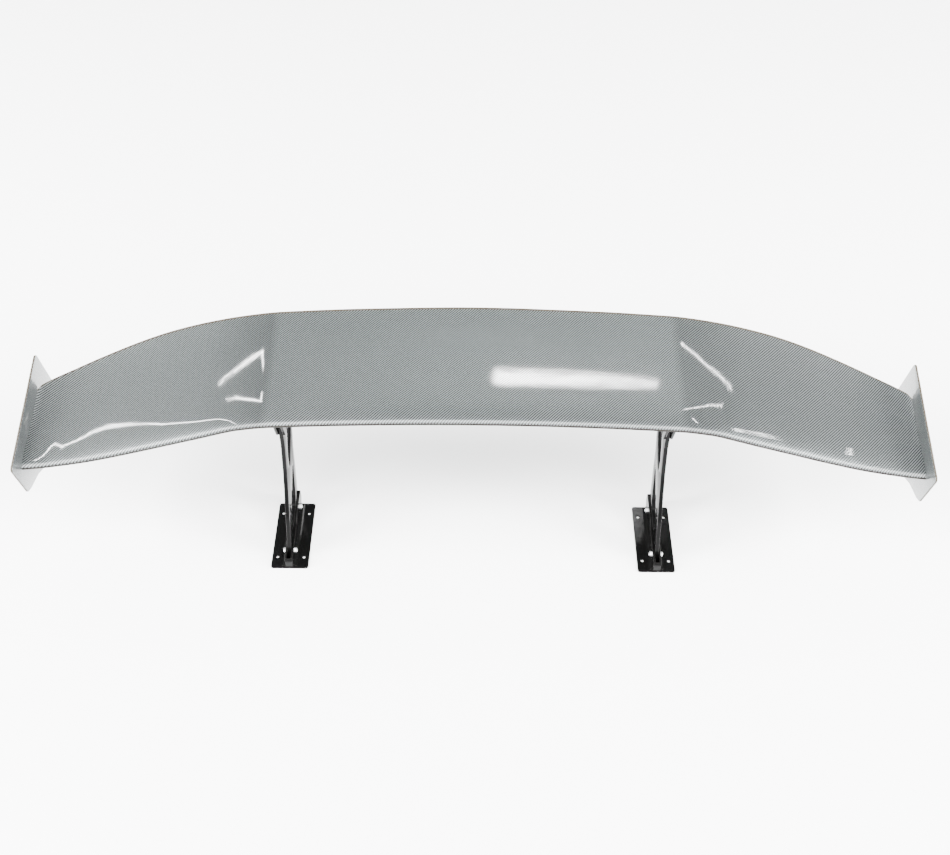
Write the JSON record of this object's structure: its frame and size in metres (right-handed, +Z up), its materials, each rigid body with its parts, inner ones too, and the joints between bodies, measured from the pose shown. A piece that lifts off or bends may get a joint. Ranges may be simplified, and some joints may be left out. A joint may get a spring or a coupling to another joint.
{
  "type": "racing rear wing",
  "caption": "Wide carbon rear wing with a twisted, drooping blade between flat endplates, tilting on two trussed uprights with drilled base brackets.",
  "frame": {"origin": "on the mounting plane under the base brackets, midway along the span and midway between the foremost and rearmost points", "axes": "+X along the span to the right-hand end, +Y to the rear of the car, +Z up"},
  "size_m": [1.7162, 0.3752, 0.3789],
  "materials": {
    "base_left": "black gelcoat",
    "base_right": "black gelcoat",
    "upright_left": "black gelcoat",
    "upright_right": "black gelcoat",
    "base_bolt_front_left": "zinc plated",
    "base_bolt_front_right": "zinc plated",
    "base_bolt_rear_left": "zinc plated",
    "base_bolt_rear_right": "zinc plated",
    "base_nut_front_left": "zinc plated",
    "base_nut_front_right": "zinc plated",
    "base_nut_rear_left": "zinc plated",
    "base_nut_rear_right": "zinc plated",
    "pivot_bolt_left": "zinc plated",
    "pivot_bolt_right": "zinc plated",
    "pivot_nut_left": "zinc plated",
    "pivot_nut_right": "zinc plated",
    "adjuster_bolt_left": "zinc plated",
    "adjuster_bolt_right": "zinc plated",
    "adjuster_nut_left": "zinc plated",
    "adjuster_nut_right": "zinc plated",
    "adjuster_washer_outer_left": "zinc plated",
    "adjuster_washer_outer_right": "zinc plated",
    "adjuster_washer_inner_left": "zinc plated",
    "adjuster_washer_inner_right": "zinc plated",
    "upper_skin": "clear-coated silver twill weave",
    "lower_skin": "clear-coated silver twill weave",
    "front_spar": "bare laminate",
    "rear_spar": "bare laminate",
    "hardpoint_left": "bare laminate",
    "hardpoint_right": "bare laminate",
    "tip_rib_left": "bare laminate",
    "tip_rib_right": "bare laminate",
    "wing_bracket_left": "black gelcoat",
    "wing_bracket_right": "black gelcoat",
    "bracket_screw_left_1": "black oxide",
    "bracket_screw_left_2": "black oxide",
    "bracket_screw_left_3": "black oxide",
    "bracket_screw_left_4": "black oxide",
    "bracket_screw_right_1": "black oxide",
    "bracket_screw_right_2": "black oxide",
    "bracket_screw_right_3": "black oxide",
    "bracket_screw_right_4": "black oxide",
    "endplate_left": "clear-coated silver twill weave",
    "endplate_right": "clear-coated silver twill weave",
    "endplate_washer_left_1": "black oxide",
    "endplate_washer_left_2": "black oxide",
    "endplate_washer_left_3": "black oxide",
    "endplate_washer_right_1": "black oxide",
    "endplate_washer_right_2": "black oxide",
    "endplate_washer_right_3": "black oxide",
    "endplate_screw_left_1": "black oxide",
    "endplate_screw_left_2": "black oxide",
    "endplate_screw_left_3": "black oxide",
    "endplate_screw_right_1": "black oxide",
    "endplate_screw_right_2": "black oxide",
    "endplate_screw_right_3": "black oxide"
  },
  "bodies": {
    "stands": {"base_left": "base_left", "base_right": "base_right", "upright_left": "upright_left", "upright_right": "upright_right", "base_bolt_front_left": "base_bolt_front_left", "base_bolt_front_right": "base_bolt_front_right", "base_bolt_rear_left": "base_bolt_rear_left", "base_bolt_rear_right": "base_bolt_rear_right", "base_nut_front_left": "base_nut_front_left", "base_nut_front_right": "base_nut_front_right", "base_nut_rear_left": "base_nut_rear_left", "base_nut_rear_right": "base_nut_rear_right", "pivot_bolt_left": "pivot_bolt_left", "pivot_bolt_right": "pivot_bolt_right", "pivot_nut_left": "pivot_nut_left", "pivot_nut_right": "pivot_nut_right", "adjuster_bolt_left": "adjuster_bolt_left", "adjuster_bolt_right": "adjuster_bolt_right", "adjuster_nut_left": "adjuster_nut_left", "adjuster_nut_right": "adjuster_nut_right", "adjuster_washer_outer_left": "adjuster_washer_outer_left", "adjuster_washer_outer_right": "adjuster_washer_outer_right", "adjuster_washer_inner_left": "adjuster_washer_inner_left", "adjuster_washer_inner_right": "adjuster_washer_inner_right"},
    "wing": {"upper_skin": "upper_skin", "lower_skin": "lower_skin", "front_spar": "front_spar", "rear_spar": "rear_spar", "hardpoint_left": "hardpoint_left", "hardpoint_right": "hardpoint_right", "tip_rib_left": "tip_rib_left", "tip_rib_right": "tip_rib_right", "wing_bracket_left": "wing_bracket_left", "wing_bracket_right": "wing_bracket_right", "bracket_screw_left_1": "bracket_screw_left_1", "bracket_screw_left_2": "bracket_screw_left_2", "bracket_screw_left_3": "bracket_screw_left_3", "bracket_screw_left_4": "bracket_screw_left_4", "bracket_screw_right_1": "bracket_screw_right_1", "bracket_screw_right_2": "bracket_screw_right_2", "bracket_screw_right_3": "bracket_screw_right_3", "bracket_screw_right_4": "bracket_screw_right_4", "endplate_left": "endplate_left", "endplate_right": "endplate_right", "endplate_washer_left_1": "endplate_washer_left_1", "endplate_washer_left_2": "endplate_washer_left_2", "endplate_washer_left_3": "endplate_washer_left_3", "endplate_washer_right_1": "endplate_washer_right_1", "endplate_washer_right_2": "endplate_washer_right_2", "endplate_washer_right_3": "endplate_washer_right_3", "endplate_screw_left_1": "endplate_screw_left_1", "endplate_screw_left_2": "endplate_screw_left_2", "endplate_screw_left_3": "endplate_screw_left_3", "endplate_screw_right_1": "endplate_screw_right_1", "endplate_screw_right_2": "endplate_screw_right_2", "endplate_screw_right_3": "endplate_screw_right_3"}
  },
  "joints": [
    {"name": "wing_tilt", "type": "hinge", "parent": "stands", "child": "wing", "pos_m": [0, 0.0694, 0.301], "axis": [1, 0, 0], "range_deg": [-8, 8]}
  ]
}
